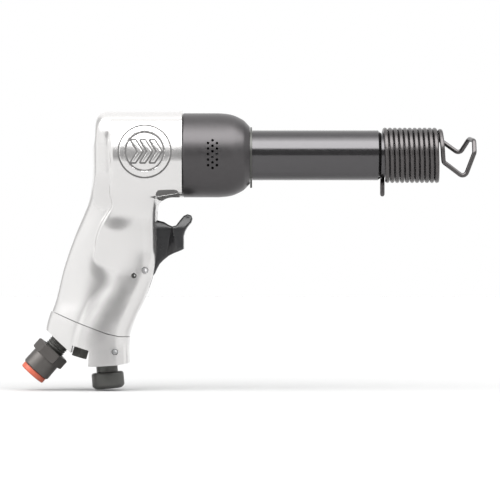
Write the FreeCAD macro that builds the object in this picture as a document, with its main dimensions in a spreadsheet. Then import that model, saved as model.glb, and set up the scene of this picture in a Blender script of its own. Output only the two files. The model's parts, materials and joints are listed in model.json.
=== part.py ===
import FreeCAD, Part
import math
import os
import re
import Sketcher
from FreeCAD import Placement, Rotation, Vector

# Pneumatic air hammer, in millimetres. The origin is the centre of the tool shank bore at the
# barrel's muzzle face. +X points out of the muzzle, +Z is up and the grip hangs down and back.
SIZES = {
    # barrel
    "barrel_radius": 16,
    "muzzle_radius": 14.3,
    "muzzle_shoulder": -36,
    "barrel_shoulder": -37.9,
    "shank_radius": 6.375,
    "shank_depth": 38,
    "bore_radius": 9.525,
    "barrel_rear": -184,
    "collar_radius": 21,
    "collar_front": -157,
    "thread_radius": 19.9,
    "port_radius": 3,
    "port_x": -143,
    "ring_groove_depth": 1.2,
    "seal_groove_depth": 1.5,
    # clearances and small edges shared by several pieces
    "running_gap": 0.05,
    "pin_gap": 0.02,
    "edge": 0.8,
    # piston
    "piston_radius": 9.49,
    "piston_rear": -181,
    "piston_front": -133,
    "oil_groove": 0.4,
    "oil_groove_inset": 12,
    # valve
    "valve_radius": 19.6,
    "valve_case_rear": -191.95,
    "valve_plate_rear": -197,
    "valve_chamber_radius": 12,
    "valve_disc_radius": 11.6,
    "valve_disc_thickness": 2.5,
    "valve_port_radius": 5,
    "valve_case_bore": 7.5,
    "valve_case_recess": 5,
    "valve_disc_hole": 2,
    "dowel_radius": 1.5,
    "dowel_ring": 15.8,
    "dowel_inset": 0.5,
    # handle head
    "head_front": -162.9,
    "head_rear": -218.2,
    "head_top": 27.7,
    "head_bottom": -26.7,
    "head_half_width": 26.5,
    "head_top_round": 13,
    "head_bottom_round": 17,
    "head_rear_round": 9,
    "socket_radius": 20,
    "air_chamber_radius": 12,
    "air_chamber_rear": -204,
    "lock_screw_x": -179.8,
    "lock_screw_radius": 2.5,
    "lock_screw_inset": 0.7,
    "lock_screw_socket_across": 2.5,
    "lock_screw_socket_depth": 3,
    # exhaust deflector and what holds it
    "deflector_radius": 26.9,
    "deflector_rear": -162.6,
    "deflector_shoulder": -139.5,
    "deflector_front": -119.8,
    "deflector_nose_radius": 17.9,
    "deflector_dome": 29,
    "deflector_dome_angle": 40,
    "deflector_hub_length": 6,
    "deflector_wall": 2.6,
    "deflector_hub": 16.1,
    "deflector_lip": 21.3,
    "vent_radius": 0.8,
    "vent_x": -143.4,
    "vent_column_step": 2.8,
    "vent_row_step": 3.5,
    "seal_radius": 0.75,
    "front_seal_x": -123,
    "rear_seal_x": -160,
    "clip_inner_radius": 15.1,
    "clip_outer_radius": 18,
    "clip_thickness": 1.2,
    "clip_x": -118.4,
    "clip_lug_reach": 20.8,
    "clip_lug_half_width": 3.6,
    "clip_gap": 1.6,
    # tool retainer spring
    "wire_radius": 1.45,
    "coil_radius": 16.3,
    "coil_pitch": 3.17,
    "coil_turns": 10.79,
    "coil_start": -35,
    "coil_tail_reach": 25,
    "loop_bend": 3,
    # grip passages
    "passage_radius": 4.2,
    "grip_lean": 16.5,
    "grip_passage_length": 68,
    "head_passage_radius": 3.9,
    "head_passage_length": 44,
    "head_passage_x": -197,
    "head_passage_z": -52,
    "head_passage_lean": 5.5,
    "plug_collar": 0.3,
    "plug_x": -227.2,
    "plug_z": -122.8,
    "plug_thread_radius": 4.76,
    "plug_thread_length": 5,
    "plug_hex_across": 9.5,
    "plug_hex_length": 6.3,
    "notch_left": -233.2,
    "notch_right": -221.8,
    "notch_slope": 1.8,
    "notch_depth": 13,
    "notch_left_lean": 3.6,
    "notch_right_lean": 1.9,
    # air inlet, whose axis points down and back
    "inlet_x": -240.9,
    "inlet_z": -119.4,
    "inlet_lean": 41.7,
    "inlet_face_front": 7.6,
    "inlet_face_rear": 20,
    "inlet_face_drop": 40,
    "inlet_passage_length": 36,
    "inlet_thread_radius": 6.85,
    "inlet_thread_length": 6,
    "inlet_bore_radius": 5,
    "inlet_hex_across": 20,
    "inlet_body_radius": 9.6,
    "inlet_hex_start": 6.5,
    "inlet_body_start": 13.5,
    "inlet_end": 24,
    "hose_thread_radius": 5.6,
    "hose_thread_length": 12,
    "cap_recess_radius": 7,
    "cap_recess_depth": 3,
    "cap_radius": 8.7,
    "cap_thickness": 3.7,
    "cap_gap": 0.3,
    "screen_depth": 4,
    "screen_length": 10,
    "screen_wall": 0.5,
    "bore_lead": 3,
    # regulator, whose axis points up and slightly back
    "regulator_x": -211.34,
    "regulator_z": -134.5,
    "regulator_lean": 5,
    "regulator_boss_radius": 13.3,
    "regulator_boss_height": 30,
    "regulator_bore_radius": 6.9,
    "regulator_stem_radius": 6.85,
    "regulator_stem_length": 20,
    "regulator_knob_radius": 10.3,
    "regulator_knob_height": 10.5,
    "regulator_neck_length": 4.2,
    "regulator_nose_length": 10,
    "regulator_passage_radius": 4.5,
    "regulator_passage_length": 43,
    "regulator_groove_radius": 4.6,
    "regulator_groove_start": 6.5,
    "regulator_groove_end": 11.5,
    "o_ring_groove_radius": 5.3,
    "o_ring_groove_start": 14.5,
    "o_ring_groove_end": 16.7,
    "regulator_pin_x": -205.4,
    "regulator_pin_z": -125.2,
    "regulator_pin_radius": 1.95,
    # trigger
    "pivot_x": -186.4,
    "pivot_z": -73.5,
    "pivot_pin_radius": 2,
    "stop_pin_x": -193.4,
    "stop_pin_z": -76.9,
    "stop_pin_radius": 1.5,
    "pin_length": 32,
    "pin_bore": 0.55,
    "trigger_web": 9,
    "trigger_pad": 19,
    "slot_width": 9.8,
    "slot_mouth": -160,
    "slot_face": -188.7,
    "slot_back": -199,
    "slot_top": -36,
    "slot_step": -66,
    "slot_bottom": -84.5,
    # throttle valve, behind the trigger
    "throttle_z": -54,
    "throttle_bore_radius": 8,
    "throttle_bore_lead": 12,
    "bushing_front": -189,
    "bushing_rear": -204.8,
    "bushing_seat_radius": 4.4,
    "bushing_throat_radius": 3.6,
    "bushing_throat_length": 3,
    "bushing_cavity_radius": 5.5,
    "bushing_guide_length": 5,
    "bushing_port_radius": 2,
    "bushing_port_inset": 5.5,
    "stem_radius": 2,
    "stem_tip": -183.75,
    "poppet_radius": 5.2,
    "poppet_front": -205.6,
    "poppet_rear": -209,
    "poppet_tail_radius": 2.2,
    "poppet_tail_length": 3,
    "spring_bore_radius": 6.5,
    "spring_bore_rear": -218,
    "spring_wire_radius": 0.4,
    "spring_radius": 3.7,
    "spring_turns": 5,
}

# Sections of the grip from top to bottom. Each is a height, the rear and front edges, half the
# thickness, and the corner radii at the rear and at the front.
GRIP_COLUMNS = ("height", "rear", "front", "half", "rear_round", "front_round")
GRIP_SECTIONS = [
    (-8, -218.2, -176, 25, 12, 6),
    (-31.2, -222.7, -178.6, 19, 13, 6),
    (-51.6, -231.7, -179.2, 16.5, 13, 6),
    (-72.1, -238.7, -180.6, 16, 13, 6),
    (-92.6, -243.8, -187.5, 16.5, 13, 8),
    (-108, -248.8, -194.6, 17.5, 13, 9),
    (-125.2, -253, -197.1, 17.5, 12, 9),
]

# Corners of the wire loop in front of the muzzle: up over the tool shank, down its near side
# and back to the coil.
LOOP_CORNERS = [
    (2.4, 11.4, 10.4),
    (15.0, 9.8, 1.2),
    (21.0, 6.8, 10.8),
    (23.2, -6.8, 9.0),
    (23.2, -10.6, 1.5),
    (17.0, -10.2, -14.8),
    (2.4, -13.6, -3.9),
]

# Degrees of tilt, from up towards +X.
UP = "0"
FORWARD = "90"
BACKWARD = "-90"
FULL_TURN = 360
HEX_SIDES = 6
HALF_HEX_TURN = 30
ALONG_Y = Vector(0, 1, 0)
ALONG_X = Vector(1, 0, 0)

doc = FreeCAD.newDocument("AirHammer")
sheet = doc.addObject("Spreadsheet::Sheet", "Sizes")
NODES = []


def grip_size(section, column):
    """The name of one size of a grip section."""
    return f"grip_{column}_{section + 1}"


def fill_sheet():
    """Write every size into the sheet, with its name beside it."""
    for number, section in enumerate(GRIP_SECTIONS):
        for column, value in zip(GRIP_COLUMNS, section):
            SIZES[grip_size(number, column)] = value
    for row, (name, value) in enumerate(SIZES.items(), start=1):
        sheet.set(f"A{row}", name)
        sheet.set(f"B{row}", str(value))
        sheet.setAlias(f"B{row}", name)
    doc.recompute()


def linked(text):
    """Turn the size names in an expression into references to the sheet."""

    def refer(word):
        return f"Sizes.{word.group()}" if word.group() in SIZES else word.group()

    return re.sub(r"[a-z]\w*", refer, str(text))


def value_of(text):
    """The present value of an expression of size names."""
    return float(sheet.evalExpression(linked(text)))


def bind(thing, name, text):
    """Let an expression of size names drive one of an object's properties."""
    thing.setExpression(name, linked(text))


def new_body(name):
    body = doc.addObject("PartDesign::Body", name)
    body.Label = name
    NODES.append(body)
    return body


def origin_feature(body, role):
    return next(feature for feature in body.Origin.OriginFeatures if feature.Role == role)


def place(body, x, z, tilt, axis=ALONG_Y):
    """Put a body's own origin at (x, 0, z), turned by the tilt about the axis."""
    body.Placement = Placement(Vector(), Rotation(axis, value_of(tilt)))
    bind(body, "Placement.Base.x", x)
    bind(body, "Placement.Base.z", z)
    bind(body, "Placement.Rotation.Angle", tilt)


def new_sketch(body, name, role, offset="0"):
    sketch = body.newObject("Sketcher::SketchObject", name)
    sketch.AttachmentSupport = [(origin_feature(body, role), "")]
    sketch.MapMode = "FlatFace"
    bind(sketch, "AttachmentOffset.Base.z", offset)
    return sketch


def pin_down(sketch, edge, end, across, up):
    """Fix one end of a sketch edge by two expressions."""
    for kind, text in (("DistanceX", across), ("DistanceY", up)):
        index = sketch.addConstraint(Sketcher.Constraint(kind, -1, 1, edge, end, value_of(text)))
        sketch.setExpression(f"Constraints[{index}]", linked(text))


def pass_through(sketch, edge, across, up):
    """Keep an arc on a point given by two expressions."""
    mark = sketch.addGeometry(Part.Point(Vector(value_of(across), value_of(up), 0)), True)
    pin_down(sketch, mark, 1, across, up)
    sketch.addConstraint(Sketcher.Constraint("PointOnObject", mark, 1, edge))


def outline(sketch, corners):
    """Draw a closed outline. A corner is (across, up), or (across, up, via across, via up) where
    the edge that leaves it is an arc through the second point."""
    places = [Vector(value_of(corner[0]), value_of(corner[1]), 0) for corner in corners]
    edges = []
    for corner, start, end in zip(corners, places, places[1:] + places[:1]):
        if len(corner) == 2:
            edges.append(sketch.addGeometry(Part.LineSegment(start, end)))
        else:
            via = Vector(value_of(corner[2]), value_of(corner[3]), 0)
            edges.append(sketch.addGeometry(Part.Arc(start, via, end)))
    ends = []
    for edge, start in zip(edges, places):
        runs_forward = sketch.getPoint(edge, 1).distanceToPoint(start) < 1e-6
        ends.append((1, 2) if runs_forward else (2, 1))
    for number, edge in enumerate(edges):
        after = (number + 1) % len(edges)
        joint = Sketcher.Constraint("Coincident", edge, ends[number][1], edges[after], ends[after][0])
        sketch.addConstraint(joint)
        pin_down(sketch, edge, ends[number][0], *corners[number][:2])
        if len(corners[number]) > 2:
            pass_through(sketch, edge, *corners[number][2:])
    return sketch


def rounded_rectangle(sketch, left, right, low, high, rounds):
    """Draw a rectangle with its own radius at each corner, anticlockwise from low left."""
    places = [(left, low, 1, 1), (right, low, -1, 1), (right, high, -1, -1), (left, high, 1, -1)]
    corners = []
    for number, ((across, up, inward, upward), radius) in enumerate(zip(places, rounds)):
        cut = f"{radius} * (1 - cos(45))"
        on_level = (f"{across} + {inward} * {radius}", up)
        on_side = (across, f"{up} + {upward} * {radius}")
        via = (f"{across} + {inward} * {cut}", f"{up} + {upward} * {cut}")
        start, end = (on_side, on_level) if number % 2 == 0 else (on_level, on_side)
        corners += [start + via, end]
    return outline(sketch, corners)


def circle(sketch, radius, across="0", up="0"):
    shape = Part.Circle(Vector(value_of(across), value_of(up), 0), Vector(0, 0, 1), value_of(radius))
    ring = sketch.addGeometry(shape)
    index = sketch.addConstraint(Sketcher.Constraint("Radius", ring, value_of(radius)))
    sketch.setExpression(f"Constraints[{index}]", linked(radius))
    pin_down(sketch, ring, 3, across, up)


def revolve(body, name, corners):
    """Turn an outline of (radius, height) corners about the body's own Z axis."""
    sketch = outline(new_sketch(body, f"{name}_profile", "XZ_Plane"), corners)
    turned = body.newObject("PartDesign::Revolution", name)
    turned.Profile = sketch
    turned.ReferenceAxis = (sketch, ["V_Axis"])
    turned.Angle = FULL_TURN
    return turned


def turned_body(name, corners, x="0", z="0", tilt=FORWARD, axis=ALONG_Y):
    body = new_body(name)
    revolve(body, f"{name}_turned", corners)
    place(body, x, z, tilt, axis)
    return body


def prism(body, name, kind, across_flats, height, start):
    """Add or subtract a hexagon on the body's own Z axis."""
    hexagon = body.newObject(f"PartDesign::{kind}Prism", name)
    hexagon.Polygon = HEX_SIDES
    hexagon.Placement = Placement(Vector(), Rotation(Vector(0, 0, 1), HALF_HEX_TURN))
    bind(hexagon, "Circumradius", f"({across_flats}) / sqrt(3)")
    bind(hexagon, "Height", height)
    bind(hexagon, "Placement.Base.z", start)
    return hexagon


def cylinder(body, name, kind, radius, height, x, z, tilt):
    """Add or subtract a cylinder that starts at (x, 0, z) and runs along the tilted direction."""
    rod = body.newObject(f"PartDesign::{kind}Cylinder", name)
    bind(rod, "Radius", radius)
    bind(rod, "Height", height)
    rod.Placement = Placement(Vector(), Rotation(ALONG_Y, value_of(tilt)))
    bind(rod, "Placement.Base.x", x)
    bind(rod, "Placement.Base.z", z)
    bind(rod, "Placement.Rotation.Angle", tilt)
    return rod


def cross_hole(body, name, radius, x, z):
    """Drill right through a body along Y."""
    sketch = new_sketch(body, f"{name}_sketch", "XZ_Plane")
    circle(sketch, radius, x, z)
    hole = body.newObject("PartDesign::Pocket", name)
    hole.Profile = sketch
    hole.Type = "ThroughAll"
    hole.Midplane = True
    return hole


def cut_through(body, name, corners, width=None):
    """Cut an outline of (x, z) corners through a body, or to a width centred on it."""
    sketch = outline(new_sketch(body, f"{name}_sketch", "XZ_Plane"), corners)
    pocket = body.newObject("PartDesign::Pocket", name)
    pocket.Profile = sketch
    pocket.Midplane = True
    if width is None:
        pocket.Type = "ThroughAll"
    else:
        bind(pocket, "Length", width)
    return pocket


def pad_outline(body, name, corners, width):
    """Raise an outline of (x, z) corners into a plate centred on the middle plane."""
    sketch = outline(new_sketch(body, f"{name}_sketch", "XZ_Plane"), corners)
    pad = body.newObject("PartDesign::Pad", name)
    pad.Profile = sketch
    pad.Midplane = True
    bind(pad, "Length", width)
    return pad


def coil_of_wire(body, name, wire, radius, start, pitch, height):
    """Wind a round wire about the body's own Z axis."""
    sketch = new_sketch(body, f"{name}_section", "XZ_Plane")
    circle(sketch, wire, radius, start)
    coil = body.newObject("PartDesign::AdditiveHelix", name)
    coil.Profile = sketch
    coil.ReferenceAxis = (origin_feature(body, "Z_Axis"), [""])
    coil.Mode = 0
    bind(coil, "Pitch", pitch)
    bind(coil, "Height", height)
    return coil


def rounded_path(corners, bend):
    """Straight runs joined by tangent arcs of one radius."""
    edges = []
    start = corners[0]
    for before, corner, after in zip(corners, corners[1:], corners[2:]):
        back = (before - corner).normalize()
        ahead = (after - corner).normalize()
        half_angle = back.getAngle(ahead) / 2
        reach = bend / math.tan(half_angle)
        centre = corner + (back + ahead).normalize() * (bend / math.sin(half_angle))
        arc_start = corner + back * reach
        arc_end = corner + ahead * reach
        arc_middle = centre + (corner - centre).normalize() * bend
        edges.append(Part.LineSegment(start, arc_start).toShape())
        edges.append(Part.Arc(arc_start, arc_middle, arc_end).toShape())
        start = arc_end
    edges.append(Part.LineSegment(start, corners[-1]).toShape())
    return Part.Wire(edges)


# ---------------------------------------------------------------- handle


def grip_section(body, number):
    """One rounded section of the grip, flat on both sides."""
    height, rear, front, half, rear_round, front_round = (
        grip_size(number, column) for column in GRIP_COLUMNS
    )
    sketch = new_sketch(body, f"grip_section_{number + 1}", "XY_Plane", height)
    rounds = [rear_round, front_round, front_round, rear_round]
    return rounded_rectangle(sketch, rear, front, f"-{half}", half, rounds)


def head_block(body):
    """The block that holds the barrel, rounded along its length and at the back."""
    sketch = new_sketch(body, "head_section", "YZ_Plane", "head_front")
    rounds = ["head_bottom_round", "head_bottom_round", "head_top_round", "head_top_round"]
    rounded_rectangle(sketch, "-head_half_width", "head_half_width", "head_bottom", "head_top", rounds)
    block = body.newObject("PartDesign::Pad", "head")
    block.Profile = sketch
    block.Reversed = True
    bind(block, "Length", "head_front - head_rear")
    doc.recompute()
    rear = value_of("head_rear")
    rear_edges = [
        f"Edge{number}" for number, edge in enumerate(block.Shape.Edges, start=1)
        if edge.BoundBox.XMax < rear + 0.01
    ]
    rounding = body.newObject("PartDesign::Fillet", "head_rear_rounds")
    rounding.Base = (block, rear_edges)
    bind(rounding, "Radius", "head_rear_round")


def grip(body):
    """The grip itself and the two ends that are cut for the inlet and the plug."""
    sections = [grip_section(body, number) for number in range(len(GRIP_SECTIONS))]
    loft = body.newObject("PartDesign::AdditiveLoft", "grip")
    loft.Profile = sections[0]
    loft.Sections = sections[1:]
    cylinder(body, "regulator_boss", "Additive", "regulator_boss_radius", "regulator_boss_height",
             "regulator_x", "regulator_z", "-regulator_lean")
    face_front = "inlet_x + inlet_face_front"
    face_rear = "inlet_x - inlet_face_rear"
    cut_through(body, "inlet_face", [
        (face_rear, "inlet_z + inlet_face_rear * tan(inlet_lean)"),
        (face_front, "inlet_z - inlet_face_front * tan(inlet_lean)"),
        (face_front, "inlet_z - inlet_face_drop"),
        (face_rear, "inlet_z - inlet_face_drop"),
    ])
    cut_through(body, "plug_notch", [
        ("notch_left", "plug_z + notch_slope"),
        ("notch_right", "plug_z - notch_slope"),
        ("notch_right - notch_right_lean", "plug_z - notch_depth"),
        ("notch_left - notch_left_lean", "plug_z - notch_depth"),
    ])


def barrel_bores(body):
    """The barrel's thread, the live air chamber behind it and the lock screw's hole."""
    cylinder(body, "barrel_socket", "Subtractive", "socket_radius",
             "head_front - valve_plate_rear + 2 * running_gap", "head_front", "0", BACKWARD)
    cylinder(body, "air_chamber", "Subtractive", "air_chamber_radius",
             "head_front - air_chamber_rear", "head_front", "0", BACKWARD)
    cylinder(body, "lock_screw_hole", "Subtractive", "lock_screw_radius", "head_top",
             "lock_screw_x", "0", UP)


def air_passages(body):
    """The way of the air: inlet, regulator, grip, throttle and the rise to the head."""
    cylinder(body, "inlet_thread", "Subtractive", "inlet_thread_radius",
             "inlet_thread_length + 1 + bore_lead",
             "inlet_x - bore_lead * sin(inlet_lean)", "inlet_z - bore_lead * cos(inlet_lean)", "inlet_lean")
    cylinder(body, "inlet_passage", "Subtractive", "passage_radius", "inlet_passage_length",
             "inlet_x", "inlet_z", "inlet_lean")
    cylinder(body, "regulator_bore", "Subtractive", "regulator_bore_radius", "regulator_stem_length + 1",
             "regulator_x", "regulator_z", "-regulator_lean")
    cylinder(body, "regulator_passage", "Subtractive", "regulator_passage_radius",
             "regulator_passage_length", "regulator_x", "regulator_z", "-regulator_lean")
    cylinder(body, "plug_thread", "Subtractive", "plug_thread_radius + running_gap",
             "plug_thread_length + 1 + bore_lead",
             "plug_x - bore_lead * sin(grip_lean)", "plug_z - bore_lead * cos(grip_lean)", "grip_lean")
    cylinder(body, "grip_passage", "Subtractive", "passage_radius", "grip_passage_length",
             "plug_x", "plug_z", "grip_lean")
    cylinder(body, "throttle_bore", "Subtractive", "throttle_bore_radius",
             "bushing_front - bushing_rear + throttle_bore_lead",
             "bushing_front + throttle_bore_lead", "throttle_z", BACKWARD)
    cylinder(body, "spring_bore", "Subtractive", "spring_bore_radius", "bushing_front - spring_bore_rear",
             "bushing_front", "throttle_z", BACKWARD)
    cylinder(body, "head_passage", "Subtractive", "head_passage_radius", "head_passage_length",
             "head_passage_x", "head_passage_z", "-head_passage_lean")


def trigger_slot(body):
    """The slot for the trigger, deeper where it pivots."""
    cut_through(body, "trigger_slot", [
        ("slot_face", "slot_top"),
        ("slot_mouth", "slot_top"),
        ("slot_mouth", "slot_bottom"),
        ("slot_back", "slot_bottom"),
        ("slot_back", "slot_step"),
        ("slot_face", "slot_step"),
    ], "slot_width")


def handle():
    """The casting: head, pistol grip, and the bosses for the inlet and the regulator."""
    body = new_body("handle")
    head_block(body)
    grip(body)
    barrel_bores(body)
    air_passages(body)
    trigger_slot(body)
    cross_hole(body, "pivot_hole", "pivot_pin_radius + pin_gap", "pivot_x", "pivot_z")
    cross_hole(body, "stop_hole", "stop_pin_radius + pin_gap", "stop_pin_x", "stop_pin_z")
    cross_hole(body, "regulator_pin_hole", "regulator_pin_radius + pin_gap",
               "regulator_pin_x", "regulator_pin_z")


# ---------------------------------------------------------------- pieces on the barrel axis


def ring_groove(radius, depth, front, rear):
    """The corners of a groove turned into a cylinder, from its front edge to its rear edge."""
    return [(radius, front), (f"{radius} - {depth}", front), (f"{radius} - {depth}", rear), (radius, rear)]


def barrel():
    """The barrel with its rear collar and thread, ring grooves and four exhaust ports."""
    corners = [
        ("shank_radius", "0"),
        ("muzzle_radius", "0"),
        ("muzzle_radius", "muzzle_shoulder"),
        ("barrel_radius", "barrel_shoulder"),
    ]
    corners += ring_groove("barrel_radius", "ring_groove_depth", "clip_x + 2 * running_gap",
                           "clip_x - clip_thickness - 2 * running_gap")
    corners += ring_groove("barrel_radius", "seal_groove_depth", "front_seal_x + 1", "front_seal_x - 1")
    corners += [("barrel_radius", "collar_front"), ("collar_radius", "collar_front")]
    corners += ring_groove("collar_radius", "seal_groove_depth", "rear_seal_x + 1", "rear_seal_x - 1")
    corners += [
        ("collar_radius", "head_front + pin_gap"),
        ("thread_radius", "head_front + pin_gap"),
        ("thread_radius", "barrel_rear"),
        ("bore_radius", "barrel_rear"),
        ("bore_radius", "-shank_depth"),
        ("shank_radius", "-shank_depth"),
    ]
    body = turned_body("barrel", corners)
    port = cylinder(body, "exhaust_port", "Subtractive", "port_radius", "barrel_radius + 2",
                    "0", "port_x", FORWARD)
    doc.recompute()
    ring = body.newObject("PartDesign::PolarPattern", "exhaust_ports")
    ring.Originals = [port]
    ring.Axis = (origin_feature(body, "Z_Axis"), [""])
    ring.Angle = FULL_TURN
    ring.Occurrences = 4
    body.Tip = ring


def piston():
    """A plain plunger with a chamfer at each end and two oil grooves."""
    corners = [
        ("0", "piston_front"),
        ("piston_radius - edge", "piston_front"),
        ("piston_radius", "piston_front - edge"),
    ]
    for groove in ("piston_front - oil_groove_inset", "piston_rear + oil_groove_inset"):
        corners += ring_groove("piston_radius", "oil_groove", f"{groove} + 1", f"{groove} - 1")
    corners += [
        ("piston_radius", "piston_rear + edge"),
        ("piston_radius - edge", "piston_rear"),
        ("0", "piston_rear"),
    ]
    turned_body("piston", corners)


def dowel_holes(body, name, height, start):
    """Two holes for the valve's dowel pins."""
    for number, side in enumerate((1, -1), start=1):
        hole = body.newObject("PartDesign::SubtractiveCylinder", f"{name}_{number}")
        bind(hole, "Radius", "dowel_radius + running_gap")
        bind(hole, "Height", height)
        bind(hole, "Placement.Base.x", f"{side} * dowel_ring")
        bind(hole, "Placement.Base.z", start)


def valve_case():
    """The ring in front of the valve disc, with the way into the barrel."""
    front = "barrel_rear - running_gap"
    step = "valve_case_rear + valve_case_recess"
    body = turned_body("valve_case", [
        ("valve_case_bore", front),
        ("valve_radius", front),
        ("valve_radius", "valve_case_rear"),
        ("valve_chamber_radius", "valve_case_rear"),
        ("valve_chamber_radius", step),
        ("valve_case_bore", step),
    ])
    dowel_holes(body, "case_dowel", "barrel_rear - valve_case_rear", "valve_case_rear")


def valve_seat_plate():
    """The plate behind the valve disc, open in the middle for the live air."""
    front = "valve_case_rear - running_gap"
    body = turned_body("valve_seat_plate", [
        ("valve_port_radius", "valve_plate_rear"),
        ("valve_port_radius", front),
        ("valve_radius", front),
        ("valve_radius", "valve_plate_rear"),
    ])
    dowel_holes(body, "plate_dowel", "valve_case_rear - valve_plate_rear", "valve_plate_rear")


def valve_dowel_pins():
    """Two pins that line the valve plates up with each other, as one node."""
    body = new_body("valve_dowel_pins")
    for number, side in enumerate((1, -1), start=1):
        sketch = new_sketch(body, f"dowel_section_{number}", "XY_Plane", "valve_plate_rear + dowel_inset")
        circle(sketch, "dowel_radius", f"{side} * dowel_ring")
        pin = body.newObject("PartDesign::Pad", f"dowel_{number}")
        pin.Profile = sketch
        bind(pin, "Length", "barrel_rear - valve_plate_rear - 2 * dowel_inset")
    place(body, "0", "0", FORWARD)


def valve_disc():
    """The loose disc that sends the air to one side of the piston and then the other."""
    rear = "valve_case_rear + 2 * running_gap"
    front = f"{rear} + valve_disc_thickness"
    turned_body("valve_disc", [
        ("valve_disc_hole", rear),
        ("valve_disc_hole", front),
        ("valve_disc_radius", front),
        ("valve_disc_radius", rear),
    ])


def barrel_lock_screw():
    """A set screw that bears on the barrel's thread through the top of the head."""
    point = "socket_radius + 4 * running_gap"
    radius = "lock_screw_radius - running_gap"
    top = "head_top - lock_screw_inset"
    body = turned_body("barrel_lock_screw", [
        ("0", point),
        ("lock_screw_radius - edge", point),
        (radius, f"{point} + edge"),
        (radius, top),
        ("0", top),
    ], "lock_screw_x", "0", UP)
    prism(body, "lock_screw_socket", "Subtractive", "lock_screw_socket_across",
          "lock_screw_socket_depth", "head_top - lock_screw_socket_depth")


def dome_point(angle):
    """The radius and the place of a point on the deflector's domed nose."""
    return (
        f"deflector_radius - deflector_dome * (1 - cos({angle}))",
        f"deflector_shoulder + deflector_dome * sin({angle})",
    )


def exhaust_deflector():
    """A shell round the barrel that turns to point its exhaust holes anywhere."""
    inside = "deflector_radius - deflector_wall"
    shelf = "collar_front - 6 * running_gap"
    body = turned_body("exhaust_deflector", [
        ("deflector_lip", "deflector_rear"),
        ("deflector_radius", "deflector_rear"),
        ("deflector_radius", "deflector_shoulder") + dome_point("deflector_dome_angle / 2"),
        dome_point("deflector_dome_angle"),
        ("deflector_nose_radius", "deflector_front"),
        ("deflector_hub", "deflector_front"),
        ("deflector_hub", "deflector_front - deflector_hub_length"),
        (inside, "deflector_shoulder - deflector_wall"),
        (inside, shelf),
        ("deflector_lip", shelf),
    ])
    sketch = new_sketch(body, "vents_sketch", "XZ_Plane")
    for column, rows in ((-1, 5), (0, 6), (1, 5)):
        for row in range(rows):
            circle(sketch, "vent_radius", f"{row - (rows - 1) / 2} * vent_row_step",
                   f"vent_x + {column} * vent_column_step")
    vents = body.newObject("PartDesign::Pocket", "vents")
    vents.Profile = sketch
    vents.Reversed = True
    bind(vents, "Length", "deflector_radius + 1")


def seal_ring(name, radius, x, z="0", tilt=FORWARD):
    """A rubber ring of round section."""
    ring = doc.addObject("Part::Torus", name)
    ring.Label = name
    bind(ring, "Radius1", radius)
    bind(ring, "Radius2", "seal_radius")
    place(ring, x, z, tilt)
    NODES.append(ring)


def deflector_retaining_ring():
    """A spring clip in the barrel's groove, open at the bottom between two lugs."""
    front = "clip_x"
    rear = "clip_x - clip_thickness"
    body = turned_body("deflector_retaining_ring", [
        ("clip_inner_radius", front),
        ("clip_outer_radius", front),
        ("clip_outer_radius", rear),
        ("clip_inner_radius", rear),
    ])
    lug_root = "(clip_inner_radius + clip_outer_radius) / 2"
    sketch = new_sketch(body, "clip_lugs_sketch", "XY_Plane", rear)
    outline(sketch, [
        (lug_root, "-clip_lug_half_width"),
        ("clip_lug_reach", "-clip_lug_half_width"),
        ("clip_lug_reach", "clip_lug_half_width"),
        (lug_root, "clip_lug_half_width"),
    ])
    lugs = body.newObject("PartDesign::Pad", "clip_lugs")
    lugs.Profile = sketch
    bind(lugs, "Length", "clip_thickness")
    cut_through(body, "clip_opening", [
        ("clip_inner_radius - 2", f"{front} + 1"),
        ("clip_lug_reach + 2", f"{front} + 1"),
        ("clip_lug_reach + 2", f"{rear} - 1"),
        ("clip_inner_radius - 2", f"{rear} - 1"),
    ], "clip_gap")


def retainer_coil():
    """The close-wound spring that screws on the muzzle, with a straight tail to turn it by."""
    body = new_body("retainer_coil")
    coil_of_wire(body, "coil", "wire_radius", "coil_radius", "coil_start",
                 "coil_pitch", "coil_pitch * coil_turns")
    cylinder(body, "coil_tail", "Additive", "wire_radius", "coil_tail_reach - coil_radius",
             "coil_radius", "coil_start", FORWARD)
    place(body, "0", "0", FORWARD)


def retainer_loop():
    """The front of the retainer wire, swept along straight runs and bends."""
    corners = [Vector(*corner) for corner in LOOP_CORNERS]
    path = rounded_path(corners, value_of("loop_bend"))
    section = Part.Circle(corners[0], corners[1] - corners[0], value_of("wire_radius")).toShape()
    loop = doc.addObject("Part::Feature", "retainer_loop")
    loop.Label = "retainer_loop"
    loop.Shape = path.makePipeShell([Part.Wire(section)], True, True)
    NODES.append(loop)


# ---------------------------------------------------------------- trigger and throttle


def trigger():
    """A thin web in the grip's slot behind a wide finger pad with a horn on top."""
    body = new_body("trigger")
    horn_and_front = [
        ("22.0", "31.9", "26.6", "35.8"),
        ("30.0", "32.7"),
        ("25.3", "24.9"),
        ("24.4", "21.8"),
    ]
    pad_outline(body, "web", [
        ("2.9", "32.6"),
        ("6.9", "32.1", "12.5", "30.4"),
        ("17.2", "28.0"),
        *horn_and_front,
        ("24.4", "13.5", "12.2", "7.1"),
        ("5.0", "-4.0"),
        ("3.0", "-7.6"),
        ("-9.5", "-7.6"),
        ("-9.5", "-5.2"),
        ("-2.0", "-5.2", "-5.4", "0"),
        ("-1.5", "5.2"),
        ("2.9", "6.5"),
    ], "trigger_web")
    pad_outline(body, "finger_pad", [
        ("17.5", "28.3"),
        *horn_and_front,
        ("24.4", "13.5", "20.0", "11.4"),
        ("15.0", "9.0"),
    ], "trigger_pad")
    cross_hole(body, "pivot_bore", "pivot_pin_radius + running_gap", "0", "0")
    place(body, "pivot_x", "pivot_z", UP)


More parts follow.
